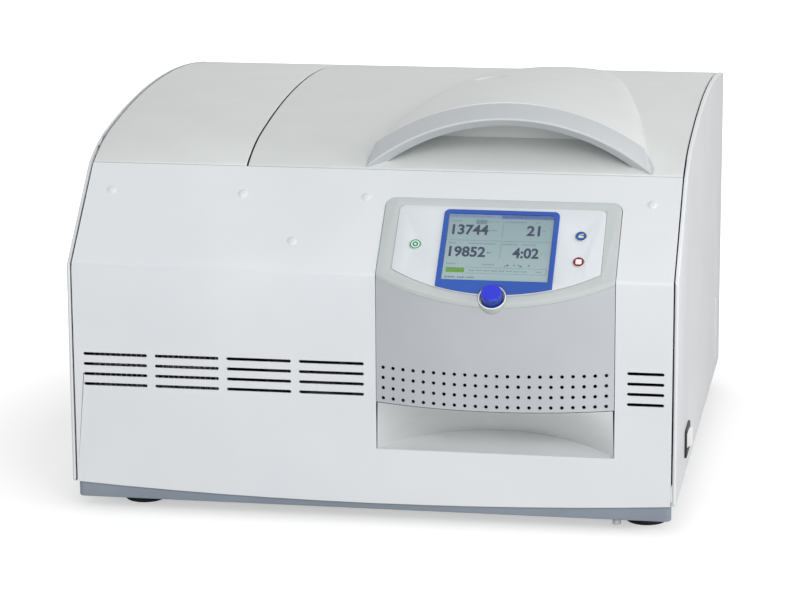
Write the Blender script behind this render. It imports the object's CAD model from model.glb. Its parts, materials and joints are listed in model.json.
# %% [markdown]
# # A refrigerated bench centrifuge
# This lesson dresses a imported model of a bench-top centrifuge: a folded sheet steel
# housing, a curved lid with a hood over its hand grip, and a sloping control desk.
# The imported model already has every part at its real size, so the lesson adds only
# what the eye needs: rounded edges, finishes, the display's picture and small details.
# Everything is in metres, with the front of the machine facing along -Y.

import json
from math import atan2, cos, hypot, pi, radians, sin

import bpy
from mathutils import Matrix, Vector


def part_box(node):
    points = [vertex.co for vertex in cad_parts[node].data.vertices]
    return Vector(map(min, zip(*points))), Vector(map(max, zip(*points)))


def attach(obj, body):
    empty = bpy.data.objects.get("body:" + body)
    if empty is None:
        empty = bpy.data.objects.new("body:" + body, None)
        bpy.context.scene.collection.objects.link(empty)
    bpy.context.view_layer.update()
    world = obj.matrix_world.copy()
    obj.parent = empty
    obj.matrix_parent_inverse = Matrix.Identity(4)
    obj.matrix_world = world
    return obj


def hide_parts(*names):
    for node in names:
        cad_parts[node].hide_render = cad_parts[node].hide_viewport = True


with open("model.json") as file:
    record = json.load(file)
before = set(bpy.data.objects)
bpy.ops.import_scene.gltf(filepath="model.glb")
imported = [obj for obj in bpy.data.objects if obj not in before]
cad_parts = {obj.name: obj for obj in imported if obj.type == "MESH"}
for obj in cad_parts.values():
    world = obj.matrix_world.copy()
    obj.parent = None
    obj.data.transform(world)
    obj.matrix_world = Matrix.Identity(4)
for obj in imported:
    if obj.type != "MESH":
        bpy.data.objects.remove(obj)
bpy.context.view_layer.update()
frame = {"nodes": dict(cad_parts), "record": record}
MM = 0.001
nodes = frame["nodes"]
print("nodes loaded:", len(nodes))

# %% [markdown]
# ## Measures of the machine
# Later cells need a few places on the housing. They are read from the parts themselves
# where a part shows them, so that a piece always lands on what carries it. The desk has
# its own flat frame: across it, up its slope from the bend, and out of it.

# %% Measures and the desk's own frame
front_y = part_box("left_cheek")[0].y
rear_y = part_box("left_cheek")[1].y
side_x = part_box("right_cheek")[1].x
bend_z = 280 * MM
seam_back = 103 * MM
seam_z = 377 * MM
desk_angle = atan2(seam_z - bend_z, seam_back)
screen_low, screen_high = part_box("display_frame")
desk_x = (screen_low.x + screen_high.x) / 2
desk_place = Matrix.Translation((desk_x, front_y, bend_z)) @ Matrix.Rotation(desk_angle, 4, "X")
print("desk slope in degrees:", round(desk_angle * 180 / pi, 2), "middle at x:", round(desk_x, 4))

# %% [markdown]
# ## The camera
# A long lens from some three metres away keeps the machine's verticals nearly upright.
# It stands to the right and a little above, so the front, the desk, the lid and a
# sliver of the right side all show.

# %% Camera
eye = Vector((0.5863, front_y - 3.1546, 0.9981))
yaw, pitch, roll = 0.17108, 0.22709, -0.00547
aim = Vector((-sin(yaw) * cos(pitch), cos(yaw) * cos(pitch), -sin(pitch)))
picture_width = 810
sensor = 36.0
focal_pixels = 3034.94
lens_data = bpy.data.cameras.new("product_lens")
lens_data.sensor_fit = "HORIZONTAL"
lens_data.sensor_width = sensor
lens_data.lens = focal_pixels * sensor / picture_width
lens_data.clip_end = 60
camera = bpy.data.objects.new("product_camera", lens_data)
bpy.context.collection.objects.link(camera)
camera.matrix_world = (
    Matrix.Translation(eye)
    @ aim.to_track_quat("-Z", "Y").to_matrix().to_4x4()
    @ Matrix.Rotation(roll, 4, "Z")
)
bpy.context.scene.camera = camera
print("lens in mm:", round(lens_data.lens, 1))

# %% [markdown]
# ## Helpers for colours and shader nodes
# Paint colours are written as the hex values that a colour chart gives, and one function
# turns them into the linear values that shaders use. A second one adds a shader node with
# its settings, its values and its links, which keeps each finish short enough to read.

# %% Colour and node helpers
def chart(hex_text):
    """The linear colour of an sRGB hex value such as 'E3E6E8'."""
    parts = [int(hex_text[i : i + 2], 16) / 255 for i in (0, 2, 4)]
    linear = [p / 12.92 if p <= 0.04045 else ((p + 0.055) / 1.055) ** 2.4 for p in parts]
    return (*linear, 1.0)


def add_node(tree, kind, settings=None, values=None, links=None):
    """Adds a shader node with its settings, its socket values and its incoming links."""
    made = tree.nodes.new(kind)
    for name, value in (settings or {}).items():
        setattr(made, name, value)
    for socket, value in (values or {}).items():
        made.inputs[socket].default_value = value
    for socket, source in (links or {}).items():
        tree.links.new(source, made.inputs[socket])
    return made


def start_finish(name, values):
    """A new material with a Principled shader, its object coordinates and its tree."""
    finish = bpy.data.materials.new(name)
    finish.use_nodes = True
    tree = finish.node_tree
    tree.nodes.clear()
    shader = add_node(tree, "ShaderNodeBsdfPrincipled", values=values)
    add_node(tree, "ShaderNodeOutputMaterial", links={"Surface": shader.outputs["BSDF"]})
    place = add_node(tree, "ShaderNodeTexCoord").outputs["Object"]
    return finish, tree, shader, place


def tint(tree, factor, dark, light, low=0.35, high=0.65):
    """A colour that drifts between two chart colours as the factor goes from low to high."""
    ramp = add_node(tree, "ShaderNodeValToRGB", links={"Fac": factor})
    ramp.color_ramp.elements[0].position = low
    ramp.color_ramp.elements[0].color = chart(dark)
    ramp.color_ramp.elements[1].position = high
    ramp.color_ramp.elements[1].color = chart(light)
    return ramp.outputs["Color"]


print("white paint in linear light:", [round(c, 3) for c in chart("E3E6E8")])

# %% [markdown]
# ## Light, floor and background
# Product pictures of white goods use a wide soft light in front and above, a weaker one
# from the side, and an even glow all round. The floor is pale and matt and keeps the
# machine's shadow, and away from the machine it fades to white for the camera only. The
# white background is given only to camera, mirror and glass rays, so it adds no light to
# the paint.

# %% World, floor and lamps
bpy.context.scene.view_settings.view_transform = "Standard"
world = bpy.data.worlds.new("studio")
bpy.context.scene.world = world
world.use_nodes = True
sky = world.node_tree
sky.nodes.clear()
rays = add_node(sky, "ShaderNodeLightPath").outputs
straight = add_node(
    sky,
    "ShaderNodeMath",
    {"operation": "MAXIMUM"},
    links={0: rays["Is Camera Ray"], 1: rays["Is Transmission Ray"]},
)
seen = add_node(
    sky,
    "ShaderNodeMath",
    {"operation": "MAXIMUM"},
    links={0: straight.outputs[0], 1: rays["Is Glossy Ray"]},
)
glow = add_node(sky, "ShaderNodeBackground", values={"Color": chart("F7F7F7"), "Strength": 0.45})
white = add_node(sky, "ShaderNodeBackground", values={"Color": (1, 1, 1, 1), "Strength": 1.0})
mixed = add_node(
    sky, "ShaderNodeMixShader", links={0: seen.outputs[0], 1: glow.outputs[0], 2: white.outputs[0]}
)
add_node(sky, "ShaderNodeOutputWorld", links={"Surface": mixed.outputs[0]})

bpy.ops.object.select_all(action="DESELECT")
bpy.ops.mesh.primitive_plane_add(size=40, location=(0, 8, 0))
floor = bpy.context.object
floor.name = "studio_floor"
floor_finish, tree, shader, place = start_finish("matt_white_paper", {"Roughness": 0.9})
fibre = add_node(tree, "ShaderNodeTexNoise", values={"Scale": 900.0}, links={"Vector": place})
tree.links.new(tint(tree, fibre.outputs["Fac"], "CECECE", "D4D4D4"), shader.inputs["Base Color"])
rays = add_node(tree, "ShaderNodeLightPath").outputs
away = add_node(tree, "ShaderNodeVectorMath", {"operation": "DISTANCE"}, {1: (0, -8, 0)}, {0: place})
fade = {"From Min": 0.45, "From Max": 1.1, "To Min": 0.5, "To Max": 1.2}
rise = add_node(tree, "ShaderNodeMapRange", values=fade, links={"Value": away.outputs["Value"]})
lift = add_node(
    tree,
    "ShaderNodeMath",
    {"operation": "MULTIPLY"},
    links={0: rays["Is Camera Ray"], 1: rise.outputs["Result"]},
)
shader.inputs["Emission Color"].default_value = (1, 1, 1, 1)
tree.links.new(lift.outputs[0], shader.inputs["Emission Strength"])
floor.data.materials.append(floor_finish)


def softbox(name, place, target, width, height, watts, colour=(1, 1, 1)):
    """A rectangular area lamp at place that faces target."""
    data = bpy.data.lights.new(name, "AREA")
    data.color = colour
    data.shape = "RECTANGLE"
    data.size, data.size_y, data.energy = width, height, watts
    lamp = bpy.data.objects.new(name, data)
    bpy.context.collection.objects.link(lamp)
    heading = (Vector(target) - Vector(place)).to_track_quat("-Z", "Y")
    lamp.matrix_world = Matrix.Translation(place) @ heading.to_matrix().to_4x4()
    return lamp


softbox("front_softbox", (1.1, -4.3, 2.3), (0, 0, 0.25), 5.0, 3.4, 135)
softbox("side_softbox", (4.2, -0.6, 1.5), (0.2, 0, 0.2), 3.0, 2.4, 72, (1, 0.975, 0.94))
print("lamps:", len(bpy.data.lights))

# %% [markdown]
# ## Painted sheet steel
# The housing is folded from steel sheet and powder coated. Powder flows together in the
# oven and sets with a faint orange peel, about two millimetres from bump to bump, and
# the coat is never quite even. Noise at that size for the bump, and at twelve centimetres
# for tint and gloss, is simpler than painting a texture and works on any part.

# %% Powder coats
def grain(size_mm):
    """The scale at which a noise pattern's features are this size in millimetres."""
    return 1 / (size_mm * MM)


def powder_coat(name, dark, light, roughness, peel_mm=2.0):
    """Powder coated steel: a drifting tint, an orange peel bump and a satin gloss."""
    finish, tree, shader, place = start_finish(name, {"IOR": 1.5, "Specular IOR Level": 0.42})
    drift = add_node(
        tree, "ShaderNodeTexNoise", values={"Scale": grain(120), "Detail": 3.0}, links={"Vector": place}
    )
    tree.links.new(tint(tree, drift.outputs["Fac"], dark, light), shader.inputs["Base Color"])
    gloss = add_node(
        tree,
        "ShaderNodeMapRange",
        values={"To Min": roughness - 0.05, "To Max": roughness + 0.05},
        links={"Value": drift.outputs["Fac"]},
    )
    tree.links.new(gloss.outputs["Result"], shader.inputs["Roughness"])
    peel = add_node(
        tree, "ShaderNodeTexNoise", values={"Scale": grain(peel_mm), "Detail": 1.5}, links={"Vector": place}
    )
    bump = add_node(
        tree,
        "ShaderNodeBump",
        values={"Strength": 0.10, "Distance": 0.15 * MM},
        links={"Height": peel.outputs["Fac"]},
    )
    tree.links.new(bump.outputs["Normal"], shader.inputs["Normal"])
    return finish


# cool white powder coat: the eye sees a soft, slightly blue white with satin highlights
casing_white = powder_coat("white_powder_coated_steel", "DFE2E6", "E3E6E9", 0.35)
# the same process in light grey, as used behind and below the desk
panel_grey = powder_coat("grey_powder_coated_steel", "BBBFC4", "BFC3C8", 0.42)
# blue grey coat of the base sill, darker so that the machine seems to float on it
sill_grey = powder_coat("blue_grey_powder_coated_steel", "848E99", "8C96A1", 0.40)
# black enamel on castings: they are blasted first, so the bumps of the coat lie closer together
cast_black = powder_coat("black_enamelled_casting", "1E1F22", "26272A", 0.36, peel_mm=1.2)
print("coats:", casing_white.name, panel_grey.name, sill_grey.name, cast_black.name)

# %% [markdown]
# ## Moulded plastics and rubber
# The lid shells are thick mouldings painted to match the steel, and smaller parts are
# plain ABS. Moulds are spark eroded, which leaves a fine even grain. The grain is about a
# third of a millimetre on the real part, too fine to show from three metres, so it is
# drawn two to five times as coarse and very shallow.

# %% Plastics and rubber
def moulding(name, dark, light, roughness, grain_mm=1.0, depth_mm=0.06, coat=0.0):
    """Injection moulded or painted plastic with a fine spark eroded grain."""
    finish, tree, shader, place = start_finish(
        name, {"IOR": 1.47, "Coat Weight": coat, "Coat Roughness": 0.12}
    )
    drift = add_node(
        tree, "ShaderNodeTexNoise", values={"Scale": grain(70), "Detail": 2.0}, links={"Vector": place}
    )
    tree.links.new(tint(tree, drift.outputs["Fac"], dark, light), shader.inputs["Base Color"])
    gloss = add_node(
        tree,
        "ShaderNodeMapRange",
        values={"To Min": roughness - 0.04, "To Max": roughness + 0.04},
        links={"Value": drift.outputs["Fac"]},
    )
    tree.links.new(gloss.outputs["Result"], shader.inputs["Roughness"])
    pits = add_node(tree, "ShaderNodeTexVoronoi", values={"Scale": grain(grain_mm)}, links={"Vector": place})
    bump = add_node(
        tree,
        "ShaderNodeBump",
        values={"Strength": 0.08, "Distance": depth_mm * MM},
        links={"Height": pits.outputs["Distance"]},
    )
    tree.links.new(bump.outputs["Normal"], shader.inputs["Normal"])
    return finish


# painted structural moulding of the lid and left cover: a warmer, greener white than the steel
cover_white = moulding("painted_lid_moulding", "DBDFDE", "DFE3E2", 0.36, grain_mm=1.6)
# the desk's bezel plate, a light grey painted moulding
bezel_grey = moulding("grey_painted_moulding", "BFC6C6", "C4CACA", 0.40)
# shaded grey of the finger scoop below the perforated sheet
scoop_grey = moulding("warm_grey_moulding", "CCCFD0", "CFD2D3", 0.5)
# ABS keys and the mains rocker: hard, slightly glossy
key_white = moulding("white_abs", "E8E9E9", "EDEEEE", 0.33, grain_mm=0.8, coat=0.2)
# glass filled nylon of brackets, frames and connectors
black_nylon = moulding("black_glass_filled_nylon", "17181A", "1E1F21", 0.46, grain_mm=0.9, depth_mm=0.1)
# glossy royal blue ABS of the turning knob
knob_blue = moulding("royal_blue_abs", "0E22CE", "1428DA", 0.28, grain_mm=1.2, depth_mm=0.03, coat=0.3)
# the same ABS on the knob's side, deeper in tone
knob_side_blue = moulding("deep_blue_abs", "163C9C", "1B44A8", 0.34, grain_mm=1.2, depth_mm=0.03, coat=0.15)
# screen printed blue on the back of a clear film: even colour with a glossy film over it
frame_blue = moulding("blue_printed_film", "184BA6", "1D52AF", 0.34, grain_mm=0.8, depth_mm=0.02, coat=0.25)
# white reverse printed polyester film of the keypad
film_white = moulding(
    "white_printed_polyester_film", "D6DCE0", "DBE1E5", 0.38, grain_mm=0.6, depth_mm=0.02, coat=0.15
)


def rubber(name, dark, light):
    """Moulded rubber: nearly matt, with a bloom that greys it in patches."""
    finish, tree, shader, place = start_finish(name, {"IOR": 1.52, "Specular IOR Level": 0.3})
    bloom = add_node(
        tree, "ShaderNodeTexNoise", values={"Scale": grain(9), "Detail": 4.0}, links={"Vector": place}
    )
    tree.links.new(tint(tree, bloom.outputs["Fac"], dark, light, 0.3, 0.7), shader.inputs["Base Color"])
    dull = add_node(
        tree,
        "ShaderNodeMapRange",
        values={"To Min": 0.62, "To Max": 0.85},
        links={"Value": bloom.outputs["Fac"]},
    )
    tree.links.new(dull.outputs["Result"], shader.inputs["Roughness"])
    bump = add_node(
        tree,
        "ShaderNodeBump",
        values={"Strength": 0.15, "Distance": 0.1 * MM},
        links={"Height": bloom.outputs["Fac"]},
    )
    tree.links.new(bump.outputs["Normal"], shader.inputs["Normal"])
    return finish


# nitrile rubber feet and dampers, and the softer silicone of the lid seal
black_rubber = rubber("black_nitrile_rubber", "1B1B1D", "26262A")
grey_rubber = rubber("grey_silicone_rubber", "4B4C4F", "585A5D")
# rigid polyurethane foam round the bowl: yellowish, open and crumbly where it was trimmed
foam = rubber("polyurethane_foam", "B9AC82", "D2C69C")
print("materials so far:", len(bpy.data.materials))

# %% [markdown]
# ## Bare metals
# Rolled and turned metals carry fine lines along the direction they were worked in. A
# noise stretched a hundred times along one axis gives a rolled or brushed grain. On the
# spun bowl and the turned rotor the lines run round the axis, so there the noise is read
# at a point's distance from that axis and at its height, which draws rings. The plate
# carriers are of the rotor's metal and share its rings.

# %% Metals
def brushed_metal(name, dark, light, roughness, along="X", line_mm=0.6):
    """Rolled or brushed metal with its lines along one axis."""
    finish, tree, shader, place = start_finish(name, {"Metallic": 1.0})
    stretch = {"X": (0.01, 1, 1), "Y": (1, 0.01, 1), "Z": (1, 1, 0.01)}[along]
    turned = add_node(tree, "ShaderNodeMapping", values={"Scale": stretch}, links={"Vector": place})
    lines = add_node(
        tree,
        "ShaderNodeTexNoise",
        values={"Scale": grain(line_mm), "Detail": 2.0},
        links={"Vector": turned.outputs["Vector"]},
    )
    tree.links.new(tint(tree, lines.outputs["Fac"], dark, light, 0.25, 0.75), shader.inputs["Base Color"])
    gloss = add_node(
        tree,
        "ShaderNodeMapRange",
        values={"To Min": roughness - 0.06, "To Max": roughness + 0.08},
        links={"Value": lines.outputs["Fac"]},
    )
    tree.links.new(gloss.outputs["Result"], shader.inputs["Roughness"])
    bump = add_node(
        tree,
        "ShaderNodeBump",
        values={"Strength": 0.06, "Distance": 0.05 * MM},
        links={"Height": lines.outputs["Fac"]},
    )
    tree.links.new(bump.outputs["Normal"], shader.inputs["Normal"])
    return finish


def spun_metal(name, dark, light, roughness, centre, ring_mm=1.5):
    """Metal worked on a lathe: rings round the upright axis through centre."""
    finish, tree, shader, place = start_finish(name, {"Metallic": 1.0})
    moved = add_node(tree, "ShaderNodeVectorMath", {"operation": "SUBTRACT"}, {1: centre}, {0: place})
    split = add_node(tree, "ShaderNodeSeparateXYZ", links={0: moved.outputs[0]})
    flat = add_node(tree, "ShaderNodeCombineXYZ", links={"X": split.outputs["X"], "Y": split.outputs["Y"]})
    reach = add_node(tree, "ShaderNodeVectorMath", {"operation": "LENGTH"}, links={0: flat.outputs[0]})
    ring_place = add_node(
        tree, "ShaderNodeCombineXYZ", links={"X": reach.outputs["Value"], "Y": split.outputs["Z"]}
    )
    rings = add_node(
        tree,
        "ShaderNodeTexNoise",
        values={"Scale": grain(ring_mm), "Detail": 3.0},
        links={"Vector": ring_place.outputs[0]},
    )
    tree.links.new(tint(tree, rings.outputs["Fac"], dark, light, 0.3, 0.7), shader.inputs["Base Color"])
    gloss = add_node(
        tree,
        "ShaderNodeMapRange",
        values={"To Min": roughness - 0.06, "To Max": roughness + 0.08},
        links={"Value": rings.outputs["Fac"]},
    )
    tree.links.new(gloss.outputs["Result"], shader.inputs["Roughness"])
    bump = add_node(
        tree,
        "ShaderNodeBump",
        values={"Strength": 0.08, "Distance": 0.05 * MM},
        links={"Height": rings.outputs["Fac"]},
    )
    tree.links.new(bump.outputs["Normal"], shader.inputs["Normal"])
    return finish


bowl_low, bowl_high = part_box("chamber_bowl")
chamber = ((bowl_low.x + bowl_high.x) / 2, (bowl_low.y + bowl_high.y) / 2, 0)
# deep drawn stainless steel, polished on the lathe: bright with fine rings
stainless = spun_metal("spun_stainless_steel", "C8C8C6", "DCDCDA", 0.26, chamber)
# anodised aluminium of the rotor, turned and bead blasted: satin grey with soft rings
rotor_aluminium = spun_metal("anodised_aluminium", "A9ACB0", "BBBEC2", 0.38, chamber, ring_mm=2.0)
# zinc plated steel of brackets, hooks and plates: pale and slightly blue
plated_steel = brushed_metal("zinc_plated_steel", "AEB2B6", "C4C8CB", 0.34)
# rolled aluminium sheet of trays and fins
sheet_aluminium = brushed_metal("rolled_aluminium", "C6C9CC", "D6D9DB", 0.36)
# drawn copper tube, a little tarnished
copper = brushed_metal("drawn_copper", "B06A45", "C98560", 0.33, along="Z")
print("materials with the metals:", len(bpy.data.materials))

# %% [markdown]
# ## Silver paint, circuit board and display glass
# The hand grip is a moulding with silver metallic paint: aluminium flakes under a clear
# coat, which lighten where they face the light. A part-metallic shader with a clear coat
# gives that. The display is a transflective panel: a grey-green field behind glass, here
# darker towards its top.

# %% Special finishes
# flakes are well under half a millimetre across, and are drawn at one millimetre to show
def silver_paint(name, dark, light):
    """Silver metallic paint: flakes under a thin clear coat."""
    finish, tree, shader, place = start_finish(
        name, {"Metallic": 0.35, "Coat Weight": 0.35, "Coat Roughness": 0.15, "Roughness": 0.36}
    )
    flakes = add_node(tree, "ShaderNodeTexVoronoi", values={"Scale": grain(1.0)}, links={"Vector": place})
    tree.links.new(tint(tree, flakes.outputs["Distance"], dark, light, 0.1, 0.6), shader.inputs["Base Color"])
    tilt = add_node(
        tree,
        "ShaderNodeBump",
        values={"Strength": 0.05, "Distance": 0.05 * MM},
        links={"Height": flakes.outputs["Distance"]},
    )
    tree.links.new(tilt.outputs["Normal"], shader.inputs["Normal"])
    return finish


grip_silver = silver_paint("silver_metallic_paint", "AFB3B6", "B7BBBE")
# the same paint where hands have polished it
ridge_silver = silver_paint("polished_silver_metallic_paint", "C4C8CA", "CDD0D3")

# epoxy glass circuit board under green solder mask: glossy with a faint weave
board_green, tree, shader, place = start_finish("green_circuit_board", {"Roughness": 0.3, "IOR": 1.5})
weave = add_node(tree, "ShaderNodeTexChecker", values={"Scale": grain(1.5)}, links={"Vector": place})
weave.inputs["Color1"].default_value = chart("1F5A36")
weave.inputs["Color2"].default_value = chart("24633C")
tree.links.new(weave.outputs["Color"], shader.inputs["Base Color"])

# liquid crystal glass: grey green, darker towards its top edge, faintly cloudy, with a glossy front
display_glass, tree, shader, place = start_finish(
    "liquid_crystal_glass", {"Roughness": 0.22, "IOR": 1.52, "Coat Weight": 0.3, "Coat Roughness": 0.05}
)
cell = add_node(
    tree, "ShaderNodeTexNoise", values={"Scale": grain(60), "Detail": 1.0}, links={"Vector": place}
)
height = add_node(tree, "ShaderNodeSeparateXYZ", links={"Vector": place}).outputs["Z"]
glass_top, glass_foot = 0.336, 0.278
depth = add_node(
    tree,
    "ShaderNodeMapRange",
    values={"From Min": glass_top, "From Max": glass_foot, "To Min": -0.1},
    links={"Value": height},
)
cloud = add_node(
    tree,
    "ShaderNodeMath",
    {"operation": "MULTIPLY_ADD"},
    {1: 0.3},
    {0: cell.outputs["Fac"], 2: depth.outputs["Result"]},
)
tree.links.new(tint(tree, cloud.outputs[0], "879EA4", "9DB4B7", 0.0, 1.1), shader.inputs["Base Color"])
print("materials with the special finishes:", len(bpy.data.materials))

# %% [markdown]
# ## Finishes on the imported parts
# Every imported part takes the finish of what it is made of. The parts that get a rounded
# or more detailed shape later pass their finish on to that shape.

# %% Finish of each part
finish_of = {}
for finish, names in (
    (casing_white, "front_panel left_cheek right_cheek rear_panel deck_plate inverter"),
    (cover_white, "left_top_cover lid_cover lid_inner_plate lid_hood"),
    (panel_grey, "perforated_panel"),
    (bezel_grey, "control_bezel"),
    (scoop_grey, "intake_scoop"),
    (sill_grey, "front_sill base_tray"),
    (grip_silver, "lid_handle"),
    (film_white, "keypad_panel panel_plugs"),
    (frame_blue, "display_frame"),
    (display_glass, "display_module"),
    (key_white, "start_key lid_key stop_key mains_rocker knob_cup"),
    (knob_blue, "control_knob"),
    (black_rubber, "feet motor_dampers"),
    (grey_rubber, "lid_seal"),
    (black_nylon, "power_inlet mains_switch_frame lock_housings fan_shroud condenser_fan knob_encoder"),
    (stainless, "chamber_bowl"),
    (rotor_aluminium, "rotor_head left_carrier right_carrier"),
    (plated_steel, "hinge_arms hinge_blocks hinge_pins lid_springs lock_strikers lock_hooks housing_screws"),
    (plated_steel, "knob_shaft armour_ring chamber_plate plate_posts motor_plate motor_shaft rotor_nut"),
    (sheet_aluminium, "condenser"),
    (copper, "evaporator_coil"),
    (foam, "bowl_insulation"),
    (cast_black, "drive_motor compressor"),
    (board_green, "control_board"),
):
    for name in names.split():
        finish_of[name] = finish
for name, part in nodes.items():
    part.data.materials.clear()
    part.data.materials.append(finish_of[name])
print("parts with a finish:", len(finish_of), "of", len(nodes))


# %% [markdown]
# ## Working on a mesh by place
# The steps below are the ones a modeller makes by hand: pick some edges or faces, then
# bevel, inset or extrude them. In a script they are picked by where they lie. A packed
# part is a soup of loose triangles, so a copy of it is merged and its flat faces joined
# before its edges can be rounded.

# %% Picking and copying helpers
def single_out(piece):
    """Makes this piece the only selected one."""
    bpy.ops.object.select_all(action="DESELECT")
    piece.select_set(True)
    bpy.context.view_layer.objects.active = piece


def pick(piece, mode, test):
    """Opens the piece for editing with the vertices, edges or faces that pass the test selected.
    The test gets a vertex's place, an edge's two ends, or a face's middle and normal."""
    single_out(piece)
    mesh = piece.data
    bpy.ops.object.mode_set(mode="EDIT")
    bpy.ops.mesh.select_mode(type=mode)
    bpy.ops.mesh.select_all(action="DESELECT")
    bpy.ops.object.mode_set(mode="OBJECT")
    chosen = 0
    if mode == "VERT":
        for item in mesh.vertices:
            item.select = test(item.co)
            chosen += item.select
    elif mode == "EDGE":
        for item in mesh.edges:
            item.select = test(*[mesh.vertices[i].co for i in item.vertices])
            chosen += item.select
    else:
        for item in mesh.polygons:
            item.select = test(item.center, item.normal)
            chosen += item.select
    bpy.ops.object.mode_set(mode="EDIT")
    return chosen


def close_edit(piece, smooth_angle=30):
    """Leaves editing and shades the piece smooth, except over edges sharper than the angle."""
    bpy.ops.object.mode_set(mode="OBJECT")
    single_out(piece)
    bpy.ops.object.shade_smooth_by_angle(angle=radians(smooth_angle))


def settle(piece, body, finish=None):
    """Gives a piece its body, its slot in the record and, where one is named, its finish."""
    if finish is not None:
        piece.data.materials.clear()
        piece.data.materials.append(finish)
    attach(piece, body)
    return piece


def fair_copy(part, name, flat=0.5):
    """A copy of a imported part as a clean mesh, ready for its edges to be rounded."""
    piece = bpy.data.objects.new(name, nodes[part].data.copy())
    bpy.context.collection.objects.link(piece)
    single_out(piece)
    bpy.ops.mesh.customdata_custom_splitnormals_clear()
    bpy.ops.object.mode_set(mode="EDIT")
    bpy.ops.mesh.select_all(action="SELECT")
    bpy.ops.mesh.remove_doubles(threshold=0.004 * MM)
    bpy.ops.mesh.dissolve_limited(angle_limit=radians(flat))
    bpy.ops.object.mode_set(mode="OBJECT")
    return piece


def sharp_edges(piece, test, sharpness=35):
    """Opens the piece with its sharp edges selected where both ends pass the test, and
    returns how many are selected. A face that has only sharp edges stays selected, and
    Blender then selects all its edges again, whether their ends pass or not."""
    single_out(piece)
    bpy.ops.object.mode_set(mode="EDIT")
    bpy.ops.mesh.select_mode(type="EDGE")
    bpy.ops.mesh.select_all(action="DESELECT")
    bpy.ops.mesh.edges_select_sharp(sharpness=radians(sharpness))
    bpy.ops.object.mode_set(mode="OBJECT")
    mesh = piece.data
    for edge in mesh.edges:
        if edge.select:
            edge.select = all(test(mesh.vertices[i].co) for i in edge.vertices)
    bpy.ops.object.mode_set(mode="EDIT")
    return mesh.total_edge_sel


def near(value, target, reach=0.02 * MM):
    """Whether a coordinate lies within a hair of a place."""
    return abs(value - target) < reach


print("helpers ready")

# %% [markdown]
# ## Rounded edges on the sheet steel
# Sheet is bent over a former, so a bend is never sharp: here the rounding starts three
# millimetres from the bend of the desk, and a little over two from the cheeks' edges. Cut
# edges are deburred by nearly half a millimetre. These small radii catch the light as the
# thin bright lines that outline every panel, which is why they are real geometry. They
# also reach some edges that the tests leave out, as sharp_edges says.

# %% Front panel
bend_offset = 3 * MM
burr_radius = 0.45 * MM
desk_inverse = desk_place.inverted()
front = fair_copy("front_panel", "front_panel_folded")
count = pick(front, "EDGE", lambda a, b: all(near(p.y, front_y) and near(p.z, bend_z) for p in (a, b)))
bpy.ops.mesh.bevel(offset=bend_offset, segments=4, affect="EDGES", clamp_overlap=False)
close_edit(front)
print("bend edges rounded:", count)
count = sharp_edges(front, lambda p: near(p.y, front_y) or near((desk_inverse @ p).z, 0), 60)
bpy.ops.mesh.bevel(offset=burr_radius, segments=2, affect="EDGES", clamp_overlap=False)
close_edit(front)
settle(front, "housing")
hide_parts("front_panel")
print("cut edges deburred:", count, "faces:", len(front.data.polygons))

# %% Side cheeks
cheek_radius = 2.2 * MM
low_zone = 135 * MM
switch_start, switch_end = front_y + 100 * MM, front_y + 180 * MM
groove_start, groove_end = rear_y - 90 * MM, rear_y - 70 * MM


def by_switch_or_groove(place):
    """Whether a place lies low on a cheek, where its switch opening or its groove is."""
    by_switch = switch_start < place.y < switch_end
    by_groove = groove_start < place.y < groove_end
    return place.z < low_zone and (by_switch or by_groove)


for part, side in (("left_cheek", -1), ("right_cheek", 1)):
    cheek = fair_copy(part, part + "_folded")
    skin = side * side_x
    count = sharp_edges(cheek, lambda p: near(p.x, skin) and not by_switch_or_groove(p), 20)
    bpy.ops.mesh.bevel(offset=cheek_radius, segments=4, affect="EDGES", clamp_overlap=False)
    close_edit(cheek)
    low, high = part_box(part)
    rim = low.x if side > 0 else high.x
    count += sharp_edges(cheek, lambda p: near(p.x, rim), 60)
    bpy.ops.mesh.bevel(offset=burr_radius, segments=2, affect="EDGES", clamp_overlap=False)
    close_edit(cheek)
    settle(cheek, "housing")
    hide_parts(part)
    print(part, "edges rounded:", count, "faces:", len(cheek.data.polygons))


# %% [markdown]
# ## The lid and the fixed cover
# The lid and the cover beside it are thick mouldings with generous rounded edges, which
# show as bright lines along the dark gaps. To keep the gaps dark, the whole side flanks
# and the front end face take a second, black finish, as if edged with rubber against dust.

# %% Lid and left cover
cover_radius = 1.6 * MM
square_on = 0.96
for part, body in (("lid_cover", "lid"), ("left_top_cover", "housing")):
    low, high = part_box(part)
    shell = fair_copy(part, part + "_moulding", flat=0.2)
    count = sharp_edges(
        shell,
        lambda p: near(p.y, low.y)
        or (near(p.x, low.x) or near(p.x, high.x))
        and p.z > seam_z - 0.2 * MM,
        40,
    )
    bpy.ops.mesh.bevel(offset=cover_radius, segments=4, affect="EDGES", clamp_overlap=False)
    close_edit(shell)
    settle(shell, body)
    shell.data.materials.append(black_rubber)
    for face in shell.data.polygons:
        at_front = face.normal.y < -square_on and near(face.center.y, low.y)
        if abs(face.normal.x) > square_on or at_front:
            face.material_index = 1
    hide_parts(part)
    print(part, "edges rounded:", count, "faces:", len(shell.data.polygons))


# %% [markdown]
# ## Rounding the smaller parts
# Most other parts that show get the same treatment with a radius that suits how they are
# made: about one millimetre on thick mouldings and turned metal, half of one on thin
# mouldings, and a third of one on film and punched sheet. The list pairs each part with
# its slot and its radius in millimetres.

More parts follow.
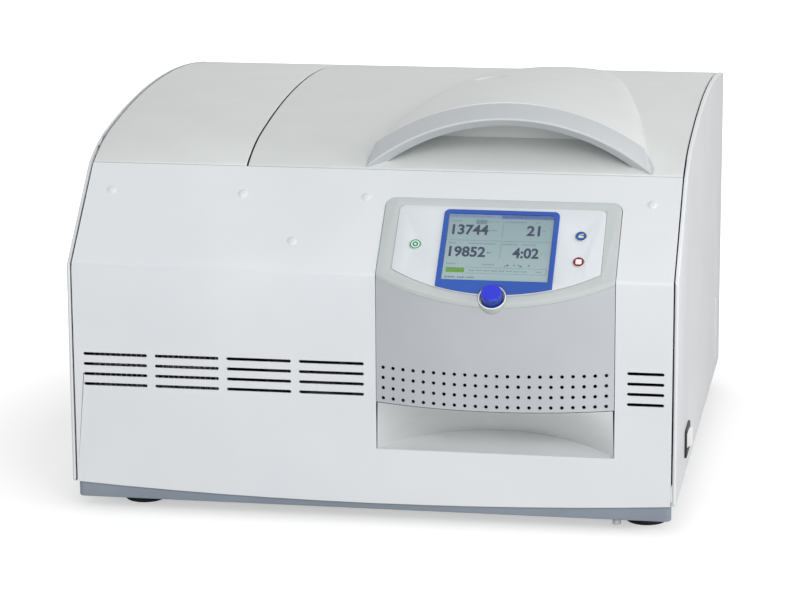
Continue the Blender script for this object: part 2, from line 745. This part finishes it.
# %% Small radii
bodies = frame["record"]["behaviour"]["bodies"]
body_of = {name: body for body, members in bodies.items() for name in members}
for part, slot, radius in (
    ("control_bezel", "panel_grey", 0.7),
    ("intake_scoop", "panel_grey", 0.5),
    ("keypad_panel", "keypad_film", 0.3),
    ("display_frame", "blue_plastic", 0.5),
    ("knob_cup", "key_plastic", 0.8),
    ("front_sill", "sill_grey", 1.2),
    ("rear_panel", "casing_white", 0.4),
    ("mains_switch_frame", "black_plastic", 0.4),
    ("mains_rocker", "key_plastic", 0.6),
    ("power_inlet", "black_plastic", 0.5),
    ("lid_inner_plate", "cover_white", 0.9),
    ("rotor_head", "aluminium", 1.2),
    ("left_carrier", "aluminium", 0.9),
    ("right_carrier", "aluminium", 0.9),
    ("rotor_nut", "steel", 0.6),
    ("hinge_blocks", "steel", 0.8),
    ("hinge_arms", "steel", 0.6),
):
    rounded = fair_copy(part, part + "_rounded")
    count = sharp_edges(rounded, lambda p: True, 40)
    bpy.ops.mesh.bevel(offset=radius * MM, segments=3, affect="EDGES", clamp_overlap=True)
    close_edit(rounded)
    settle(rounded, body_of[part])
    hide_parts(part)
    print(part, "edges:", count, "faces:", len(rounded.data.polygons))

# %% [markdown]
# ## The hood and the grip
# The hood is drawn out of the lid over the hand grip. Its front lip is rolled, wide enough
# to shine as a pale line over the silver grip. The grip is an arched band with blunt ends
# that comes to a ridge in front. Hands polish the ridge and the underside where the
# fingers pull, so those faces take a brighter silver than the top of the grip.

# %% Rolled lip of the hood
lip_radius = 2.4 * MM
lip_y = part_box("lid_hood")[0].y
hood = fair_copy("lid_hood", "lid_hood_rounded")
count = sharp_edges(hood, lambda p: near(p.y, lip_y) and p.z > seam_z, 40)
bpy.ops.mesh.bevel(offset=lip_radius, segments=4, affect="EDGES", clamp_overlap=True)
close_edit(hood, 40)
settle(hood, "lid")
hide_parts("lid_hood")
print("hood edges rounded:", count, "faces:", len(hood.data.polygons))

# %% Shoulders and ridge of the grip
shoulder_radius = 8.0 * MM
shoulder_from, shoulder_to = 148 * MM, 156 * MM
ridge_radius = 0.95 * MM
ridge_band = 1.2 * MM
grip = fair_copy("lid_handle", "lid_handle_rounded")
low_corner, high_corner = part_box("lid_handle")
ridge_y = low_corner.y
grip_middle = (low_corner.x + high_corner.x) / 2
count = pick(
    grip,
    "EDGE",
    lambda a, b: abs(a.y - b.y) > 5 * MM
    and all(shoulder_from < abs(p.x - grip_middle) < shoulder_to and p.z > seam_z + 5 * MM for p in (a, b)),
)
bpy.ops.mesh.bevel(offset=shoulder_radius, segments=6, affect="EDGES", clamp_overlap=True)
close_edit(grip, 40)
print("shoulder edges:", count, "faces:", len(grip.data.polygons))
count = pick(grip, "EDGE", lambda a, b: near(a.y, ridge_y) and near(b.y, ridge_y))
bpy.ops.mesh.bevel(offset=ridge_radius, segments=4, affect="EDGES", clamp_overlap=True)
close_edit(grip, 40)
settle(grip, "lid")
grip.data.materials.append(ridge_silver)
for face in grip.data.polygons:
    on_ridge = face.normal.y < -0.75 and face.center.y < ridge_y + ridge_band
    face.material_index = int(on_ridge or face.normal.z < -0.3)
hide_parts("lid_handle")
print("ridge edges:", count, "grip faces:", len(grip.data.polygons))

# %% [markdown]
# ## A dent on the hood
# On the crown of the hood, to the left of its middle, there is a shallow round dent, five
# millimetres deep. Moving one middle point down with proportional editing pulls its
# neighbours after it, and the sphere falloff gives the hollow a round floor and a clear
# rim, as a ball pressed into clay would. The faces there and well around it are divided
# first, in four steps, so that there is enough mesh to bend and no fold shows beside it.

# %% Dent in the hood's crown
dent_x, dent_y = 76 * MM, front_y + 414 * MM
dent_radius = 20 * MM
dent_depth = 5.0 * MM
crown_low = 0.42


def over_dent(place, reach):
    """Whether a place is on the hood's top and within this distance of the dent's middle."""
    return place.z > crown_low and hypot(place.x - dent_x, place.y - dent_y) < reach


for reach in (7 * dent_radius, 5 * dent_radius, 3 * dent_radius, 2 * dent_radius):
    pick(hood, "FACE", lambda middle, normal: over_dent(middle, reach) and normal.z > 0.5)
    bpy.ops.mesh.quads_convert_to_tris()
    bpy.ops.mesh.subdivide(number_cuts=1)
    bpy.ops.object.mode_set(mode="OBJECT")
    print("divided within", round(reach / MM), "mm, hood faces:", len(hood.data.polygons))
top = [v for v in hood.data.vertices if over_dent(v.co, 2 * dent_radius)]
middle_point = min(top, key=lambda v: hypot(v.co.x - dent_x, v.co.y - dent_y)).co.copy()
pick(hood, "VERT", lambda place: (place - middle_point).length < 0.01 * MM)
bpy.ops.transform.translate(
    value=(0, 0, -dent_depth),
    use_proportional_edit=True,
    proportional_edit_falloff="SPHERE",
    proportional_size=dent_radius,
)
close_edit(hood, 40)
print("points near the dent:", len(top), "hood faces:", len(hood.data.polygons))

# %% [markdown]
# ## Pieces that lie on the desk
# Prints, keys and plugs are modelled flat on the ground, where right angles are easy, and
# then carried to the desk by one matrix that turns and moves the mesh itself, so the
# finished object stays at the origin. A print is a plane extruded to less than a tenth of
# a millimetre, a disc is a filled circle, and a dome is a disc extruded and scaled in steps.

# %% Flat shapes for the desk
def to_desk(piece, across=0.0, up=0.0, out=0.0):
    """Carries a flat mesh to its place on the desk: across and up in mm, and out from it."""
    piece.data.transform(desk_place @ Matrix.Translation((across * MM, up * MM, out * MM)))
    return piece


def thicken(piece, thick):
    """Extrudes a flat shape upwards by this many millimetres and turns its faces outwards."""
    pick(piece, "FACE", lambda middle, normal: True)
    bpy.ops.mesh.extrude_region_move(TRANSFORM_OT_translate={"value": (0, 0, thick * MM)})
    bpy.ops.mesh.select_all(action="SELECT")
    bpy.ops.mesh.normals_make_consistent(inside=False)
    bpy.ops.object.mode_set(mode="OBJECT")


def slab(name, width, height, thick=0.06):
    """A printed block centred on the origin: a plane, sized and extruded."""
    bpy.ops.object.select_all(action="DESELECT")
    bpy.ops.mesh.primitive_plane_add(size=1)
    piece = bpy.context.object
    piece.name = name
    piece.data.transform(Matrix.Diagonal((width * MM, height * MM, 1, 1)))
    thicken(piece, thick)
    return piece


def disc(name, radius, thick, corners=64):
    """A round printed patch or a low drum: a filled circle, extruded."""
    bpy.ops.object.select_all(action="DESELECT")
    bpy.ops.mesh.primitive_circle_add(vertices=corners, radius=radius * MM, fill_type="NGON")
    piece = bpy.context.object
    piece.name = name
    thicken(piece, thick)
    return piece


def ring(name, radius, inner, thick, corners=64, arc=360):
    """A printed ring, or a part of one: a short radial edge spun round and extruded."""
    bpy.ops.object.select_all(action="DESELECT")
    bpy.ops.mesh.primitive_plane_add(size=1)
    piece = bpy.context.object
    piece.name = name
    pick(piece, "VERT", lambda place: place.y > 0)
    bpy.ops.mesh.delete(type="VERT")
    bpy.ops.object.mode_set(mode="OBJECT")
    for v in piece.data.vertices:
        v.co = ((inner if v.co.x < 0 else radius) * MM, 0, 0)
    pick(piece, "VERT", lambda place: True)
    bpy.ops.mesh.spin(steps=corners, angle=radians(arc), center=(0, 0, 0), axis=(0, 0, 1))
    bpy.ops.mesh.select_all(action="SELECT")
    bpy.ops.mesh.remove_doubles(threshold=0.005 * MM)
    bpy.ops.mesh.normals_make_consistent(inside=False)
    bpy.ops.mesh.extrude_region_move(TRANSFORM_OT_translate={"value": (0, 0, thick * MM)})
    bpy.ops.mesh.select_all(action="SELECT")
    bpy.ops.mesh.normals_make_consistent(inside=False)
    bpy.ops.object.mode_set(mode="OBJECT")
    return piece


def join(pieces, name):
    """Joins several pieces into the first one, under a new name."""
    bpy.ops.object.select_all(action="DESELECT")
    for piece in pieces:
        piece.select_set(True)
    bpy.context.view_layer.objects.active = pieces[0]
    bpy.ops.object.join()
    pieces[0].name = name
    return pieces[0]


print("flat shape helpers ready")

# %% [markdown]
# ## Blanking plugs
# Five round plugs close the desk's screw holes. On the real machine they are thin domed
# caps in the housing's own colour, so they show only as soft rings of light and shade.
# Each is a disc whose top is extruded and scaled in four ever flatter steps.
# The cup round the knob has a white rim, and its outer wall is grey like the bezel.

# %% Domed plugs and the knob's cup
knob_up = -25.6
rim_radius = 15.3
plug_radius = 5.2
plug_reach = 14
plug_face = 1.2
cup = bpy.data.objects["knob_cup_rounded"]
cup.data.materials.append(bezel_grey)
out_of_desk = desk_place.to_3x3() @ Vector((0, 0, 1))
for face in cup.data.polygons:
    flat = desk_inverse @ face.center
    outside = hypot(flat.x, flat.y - knob_up * MM) > rim_radius * MM
    face.material_index = int(outside and face.normal.dot(out_of_desk) < 0.5)
plug_middles = []
for v in nodes["panel_plugs"].data.vertices:
    flat = desk_inverse @ v.co
    if near(flat.z, plug_face * MM):
        for group in plug_middles:
            if hypot(flat.x - group[0].x, flat.y - group[0].y) < plug_reach * MM:
                group.append(flat)
                break
        else:
            plug_middles.append([flat])
plug_places = [sum(group, Vector()) / len(group) for group in plug_middles]
plug_domes = []
for place in plug_places:
    dome = disc("plug", plug_radius, 0.35, 48)
    steps = ((4.9, 0.3), (4.3, 0.25), (3.2, 0.2), (1.4, 0.08))
    wide = plug_radius
    for radius, rise in steps:
        pick(dome, "FACE", lambda middle, normal: normal.z > 0.9)
        bpy.ops.mesh.extrude_region_move(TRANSFORM_OT_translate={"value": (0, 0, rise * MM)})
        bpy.ops.transform.resize(value=(radius / wide, radius / wide, 1), center_override=(0, 0, 0))
        bpy.ops.object.mode_set(mode="OBJECT")
        wide = radius
    close_edit(dome, 60)
    plug_domes.append(to_desk(dome, place.x / MM, place.y / MM, 0))
plugs = join(plug_domes, "domed_plugs")
settle(plugs, "housing", casing_white)
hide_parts("panel_plugs")
print("plugs:", len(plug_places))

# %% [markdown]
# ## The display's picture
# The display shows four readings in bold figures, thin dividing lines, rows of small
# labels and a progress bar. The figures are Blender's own text made into meshes and
# fitted to their measured boxes. The labels are too small to read from here, so each is
# a row of tiny upright bars with gaps, which gives the same grey texture without words.

# %% Inks for the display and the keys
def ink(name, dark, light, roughness=0.3):
    """Printed or displayed colour: even, with a faint mottling and a satin gloss."""
    finish, tree, shader, place = start_finish(name, {"Roughness": roughness, "IOR": 1.5})
    mottle = add_node(
        tree, "ShaderNodeTexNoise", values={"Scale": grain(3), "Detail": 2.0}, links={"Vector": place}
    )
    tree.links.new(tint(tree, mottle.outputs["Fac"], dark, light), shader.inputs["Base Color"])
    return finish


display_ink = ink("dark_blue_liquid_crystal", "343E58", "3C4660")
label_ink = ink("grey_liquid_crystal", "687D8A", "708490")
title_ink = ink("blue_liquid_crystal", "55679C", "5E70A4")
title_pale_ink = ink("pale_blue_liquid_crystal", "7C8EB0", "8698B8")
bar_ink = ink("green_liquid_crystal", "5F9040", "689A46")
start_green = ink("green_screen_print", "0C8F5C", "129966", 0.35)
lid_blue = ink("blue_screen_print", "1F4F96", "2657A0", 0.35)
stop_red = ink("dark_red_screen_print", "7A0F1E", "861626", 0.35)
mark_white = ink("white_screen_print", "F0F1F0", "F6F7F6", 0.35)
mark_cream = ink("cream_screen_print", "E2DFB8", "E9E6C2", 0.35)
print("inks ready")

# %% Figures, lines and labels on the screen
screen_width, screen_height, screen_up, screen_out = 115.2, 86.4, 38.7, 1.6


def on_screen(piece, a, b, lift=0.0):
    """Carries a flat piece to a place given as fractions across and down the screen."""
    return to_desk(piece, (a - 0.5) * screen_width, screen_up + (0.5 - b) * screen_height, screen_out + lift)


def line(a0, b0, a1, b1, finish):
    """A straight bar between two corners of the screen."""
    bar = slab("bar", (a1 - a0) * screen_width, (b1 - b0) * screen_height, 0.05)
    on_screen(bar, (a0 + a1) / 2, (b0 + b1) / 2)
    bar.data.materials.append(finish)
    return bar


def figures(text, a0, b0, a1, b1, finish):
    """Bold figures fitted to a box on the screen."""
    bpy.ops.object.select_all(action="DESELECT")
    bpy.ops.object.text_add()
    letters = bpy.context.object
    letters.data.body = text
    letters.data.offset = 0.03
    letters.data.extrude = 0.02
    letters.data.resolution_u = 4
    bpy.ops.object.convert(target="MESH")
    xs = [v.co.x for v in letters.data.vertices]
    ys = [v.co.y for v in letters.data.vertices]
    wide, high = (a1 - a0) * screen_width * MM, (b1 - b0) * screen_height * MM
    grow = Matrix.Diagonal((wide / (max(xs) - min(xs)), high / (max(ys) - min(ys)), 1.2 * MM, 1))
    centre = Matrix.Translation((-(max(xs) + min(xs)) / 2, -(max(ys) + min(ys)) / 2, 0))
    letters.data.transform(grow @ centre)
    on_screen(letters, (a0 + a1) / 2, (b0 + b1) / 2, 0.03)
    letters.data.materials.clear()
    letters.data.materials.append(finish)
    return letters


bar_pitch, bar_width = 0.014, 0.0075


def label(a0, a1, b, finish, high=0.022, words=2):
    """A row of tiny bars that stands for a label too small to read."""
    bars = []
    count = max(3, int((a1 - a0) / bar_pitch))
    gaps = {int(count * (w + 1) / words) for w in range(words - 1)}
    for i in range(count):
        if i in gaps:
            continue
        left = a0 + (a1 - a0) * i / count
        tall = high * (1.0, 0.72, 0.72, 1.0, 0.72)[i % 5]
        sink = (high - tall) / 2
        bars.append(line(left, b - tall / 2 + sink, left + bar_width, b + tall / 2 + sink, finish))
    return bars


readings = [
    figures("13744", 0.043, 0.155, 0.388, 0.312, display_ink),
    figures("21", 0.752, 0.148, 0.880, 0.305, display_ink),
    figures("19852", 0.037, 0.490, 0.384, 0.650, display_ink),
    figures("4:02", 0.640, 0.490, 0.889, 0.650, display_ink),
]
shown = join(readings, "display_figures")
settle(shown, "housing")

title = [
    line(0.0, 0.0, 0.50, 0.052, title_pale_ink),
    line(0.50, 0.0, 1.0, 0.052, title_ink),
]
title_bar = join(title, "display_title_bar")
settle(title_bar, "housing")

rules = [
    line(0.262, 0.078, 0.368, 0.142, label_ink),
    line(0.522, 0.10, 0.526, 0.345, label_ink),
    line(0.522, 0.42, 0.526, 0.665, label_ink),
    line(0.03, 0.393, 0.98, 0.398, label_ink),
    line(0.22, 0.800, 0.975, 0.804, label_ink),
    line(0.22, 0.890, 0.975, 0.894, label_ink),
    line(0.975, 0.800, 0.979, 0.894, label_ink),
    line(0.03, 0.800, 0.033, 0.894, label_ink),
]
rule_lines = join(rules, "display_rules")
settle(rule_lines, "housing")

small = []
for a0, a1, b, finish, words in (
    (0.03, 0.13, 0.100, label_ink, 1),
    (0.385, 0.48, 0.100, label_ink, 2),
    (0.545, 0.75, 0.100, label_ink, 1),
    (0.83, 0.875, 0.100, label_ink, 1),
    (0.40, 0.475, 0.235, label_ink, 1),
    (0.90, 0.935, 0.225, label_ink, 1),
    (0.03, 0.10, 0.440, label_ink, 1),
    (0.22, 0.475, 0.440, label_ink, 2),
    (0.545, 0.68, 0.440, label_ink, 1),
    (0.73, 0.86, 0.440, label_ink, 2),
    (0.40, 0.44, 0.575, display_ink, 1),
    (0.91, 0.965, 0.575, label_ink, 2),
    (0.03, 0.12, 0.755, label_ink, 1),
    (0.37, 0.485, 0.755, label_ink, 1),
    (0.66, 0.675, 0.755, label_ink, 1),
    (0.80, 0.82, 0.755, label_ink, 1),
    (0.88, 0.94, 0.848, label_ink, 1),
    (0.25, 0.80, 0.848, label_ink, 8),
    (0.03, 0.13, 0.955, display_ink, 1),
    (0.15, 0.31, 0.955, display_ink, 2),
    (0.03, 0.09, 0.026, label_ink, 1),
    (0.11, 0.42, 0.026, label_ink, 4),
):
    small += label(a0, a1, b, finish, words=words)
small_labels = join(small, "display_small_labels")
small_labels.data.transform(Matrix.Translation(desk_place.to_3x3() @ Vector((0, 0, 0.03 * MM))))
settle(small_labels, "housing")

bar = line(0.034, 0.812, 0.205, 0.885, bar_ink)
bar.name = "display_progress_bar"
settle(bar, "housing")

ramps = []
for a, b, rise in ((0.60, 0.765, 1), (0.725, 0.765, -1)):
    bpy.ops.object.select_all(action="DESELECT")
    bpy.ops.mesh.primitive_circle_add(vertices=3, radius=1.5 * MM, fill_type="NGON")
    arrow = bpy.context.object
    thicken(arrow, 0.05)
    arrow.data.transform(Matrix.Rotation(radians(-45 if rise > 0 else -135), 4, "Z"))
    on_screen(arrow, a + 0.008, b - 0.006 * rise)
    shaft = slab("ramp", 3.2, 0.6, 0.05)
    shaft.data.transform(Matrix.Rotation(radians(35 * rise), 4, "Z"))
    on_screen(shaft, a - 0.012, b + 0.008 * rise)
    for part in (arrow, shaft):
        part.data.materials.append(display_ink)
        ramps.append(part)
ramp_marks = join(ramps, "display_ramp_marks")
settle(ramp_marks, "housing")
on_display = (shown, title_bar, rule_lines, small_labels, bar, ramp_marks)
print("display faces:", sum(len(piece.data.polygons) for piece in on_display))

# %% [markdown]
# ## The three keys
# Each key is a short round cap with a printed disc on it: green with a turning ring to
# start, blue with a raised lid to open, and dark red with a white square to stop. The
# prints ride on their own keys, so they go in with them when pressed.

# %% Prints on the keys
key_top = 2.6
key_print = 0.08
key_colour = {"start_key": start_green, "lid_key": lid_blue, "stop_key": stop_red}
for key, body, across, up in (
    ("start_key", "start_button", -90.9, 40.0),
    ("lid_key", "lid_button", 88.6, 56.8),
    ("stop_key", "stop_button", 88.9, 23.1),
):
    ground = disc(key + "_disc", 6.0, key_print)
    ground.data.materials.append(key_colour[key])
    to_desk(ground, across, up, key_top)
    settle(ground, body)
    if key == "start_key":
        turning = ring("turning_ring", 4.6, 3.4, key_print, 48)
        dot = disc("dot", 1.3, key_print, 24)
        marks = [turning, dot]
        tone = mark_white
    elif key == "lid_key":
        box_mark = slab("box", 5.4, 2.6, key_print)
        box_mark.data.transform(Matrix.Translation((0, -0.9 * MM, 0)))
        flap = slab("flap", 5.2, 0.9, key_print)
        raised = Matrix.Rotation(radians(18), 4, "Z")
        flap.data.transform(Matrix.Translation((0.2 * MM, 1.9 * MM, 0)) @ raised)
        marks = [box_mark, flap]
        tone = mark_cream
    else:
        square = slab("square", 6.4, 6.4, key_print)
        pick(square, "EDGE", lambda a, b: abs(a.z - b.z) > 0.01 * MM)
        bpy.ops.mesh.bevel(offset=1.2 * MM, segments=4, affect="EDGES")
        bpy.ops.object.mode_set(mode="OBJECT")
        marks = [square]
        tone = mark_white
    icon = join(marks, key + "_icon") if len(marks) > 1 else marks[0]
    icon.name = key + "_icon"
    icon.data.materials.clear()
    icon.data.materials.append(tone)
    to_desk(icon, across, up, key_top + key_print)
    settle(icon, body)
print("key prints made")

# %% [markdown]
# ## The control knob
# The knob is turned with two fingertips, so its side has fine shallow flutes. Its cap is a
# separate bright disc pressed into a darker body. The body is a disc of 72 corners extruded
# upwards in rings, narrowing a little towards its top, with every third upright row drawn
# in by a quarter of a millimetre. The cap is a second disc with a rounded shoulder.

# %% Fluted knob and its cap
def turned(name, start, levels, corners=72):
    """A round solid built up from a disc: each level gives its radius and its rise in mm."""
    piece = disc(name, start, levels[0][1], corners)
    wide = start
    for radius, rise in levels[1:]:
        pick(piece, "FACE", lambda middle, normal: normal.z > 0.9 and middle.xy.length < 0.5 * MM)
        bpy.ops.mesh.extrude_region_move(TRANSFORM_OT_translate={"value": (0, 0, rise * MM)})
        bpy.ops.transform.resize(value=(radius / wide, radius / wide, 1), center_override=(0, 0, 0))
        bpy.ops.object.mode_set(mode="OBJECT")
        wide = radius
    return piece


knob_foot, knob_top = -4.6, 11.5
knob_corners = 72
flute_foot, flute_top = 1.5 * MM, 13.5 * MM
flute_side = 10.95 * MM
flute_depth = 0.25
side_radius = 11.5
knob_levels = (
    (11.9, 2.0),
    (11.95, 3.2),
    (11.8, 2.6),
    (11.5, 2.6),
    (11.35, 2.6),
    (11.2, 1.4),
    (10.9, 0.2),
    (10.5, 0.1),
)
body_knob = turned("fluted_knob", 11.9, knob_levels, knob_corners)
for v in body_knob.data.vertices:
    turn = round(atan2(v.co.y, v.co.x) / (2 * pi / knob_corners)) % 3
    if turn == 0 and flute_foot < v.co.z < flute_top and v.co.xy.length > flute_side:
        v.co.xy *= 1 - flute_depth / side_radius
close_edit(body_knob, 50)
body_tall = max(v.co.z for v in body_knob.data.vertices)
to_desk(body_knob, 0, knob_up, knob_foot)
settle(body_knob, "dial", knob_side_blue)
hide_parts("control_knob")
cap_levels = ((10.9, 0.3), (10.85, 0.35), (10.6, 0.35), (10.1, 0.25), (9.2, 0.15), (4.0, 0.0))
cap = turned("knob_cap", 10.9, cap_levels)
cap_tall = max(v.co.z for v in cap.data.vertices)
close_edit(cap, 60)
to_desk(cap, 0, knob_up, knob_top - cap_tall / MM - 0.02)
settle(cap, "dial", knob_blue)
print("knob body is", round(body_tall / MM, 2), "mm tall, cap", round(cap_tall / MM, 2))

# %% [markdown]
# ## Small things low down and behind
# A grey plastic peg stands under the sill beside the right front foot, and probably
# locates the machine in its transport pallet. The rear panel carries a bare rating plate
# of thin aluminium with four rivets, left without any print, and a steel earth stud.

# %% Peg, rating plate and earth stud
peg_place = Matrix.Translation((272.6 * MM, front_y + 12 * MM, 14.2 * MM))
peg = turned("pallet_peg", 4.6, ((4.6, 1.0), (4.6, 5.6), (4.3, 0.4), (3.6, 0.3), (2.2, 0.1)), 32)
peg.data.transform(peg_place @ Matrix.Rotation(pi, 4, "X"))
close_edit(peg, 40)
settle(peg, "housing", panel_grey)

rear_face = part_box("rear_panel")[1].y
upright = Matrix.Rotation(pi, 4, "Z") @ Matrix.Rotation(pi / 2, 4, "X")
plate = slab("rating_plate", 74, 46, 0.6)
pick(plate, "EDGE", lambda a, b: abs(a.z - b.z) > 0.1 * MM)
bpy.ops.mesh.bevel(offset=3 * MM, segments=4, affect="EDGES")
close_edit(plate)
plate_place = Matrix.Translation((120 * MM, rear_face, 0.118)) @ upright
plate.data.transform(plate_place)
settle(plate, "housing", sheet_aluminium)
rivets = []
for across in (-32, 32):
    for up in (-18, 18):
        rivet = turned("rivet", 1.8, ((1.8, 0.2), (1.6, 0.25), (1.1, 0.2), (0.4, 0.08)), 24)
        rivet.data.transform(plate_place @ Matrix.Translation((across * MM, up * MM, 0.6 * MM)))
        close_edit(rivet, 60)
        rivets.append(rivet)
rivets = join(rivets, "rating_plate_rivets")
settle(rivets, "housing", sheet_aluminium)

stud_place = Matrix.Translation((205 * MM, rear_face, 0.07)) @ upright
washer = turned("earth_washer", 5.5, ((5.5, 0.3), (5.3, 0.1)), 40)
washer.data.transform(stud_place)
nut = turned("earth_nut", 4.0, ((4.0, 0.9), (3.7, 0.2)), 6)
nut.data.transform(stud_place @ Matrix.Translation((0, 0, 0.4 * MM)))
stud = join([washer, nut], "earth_stud")
close_edit(stud, 25)
settle(stud, "housing", plated_steel)
print("peg, plate and stud stand on the rear face at y:", round(rear_face, 4), "of", round(rear_y, 4))
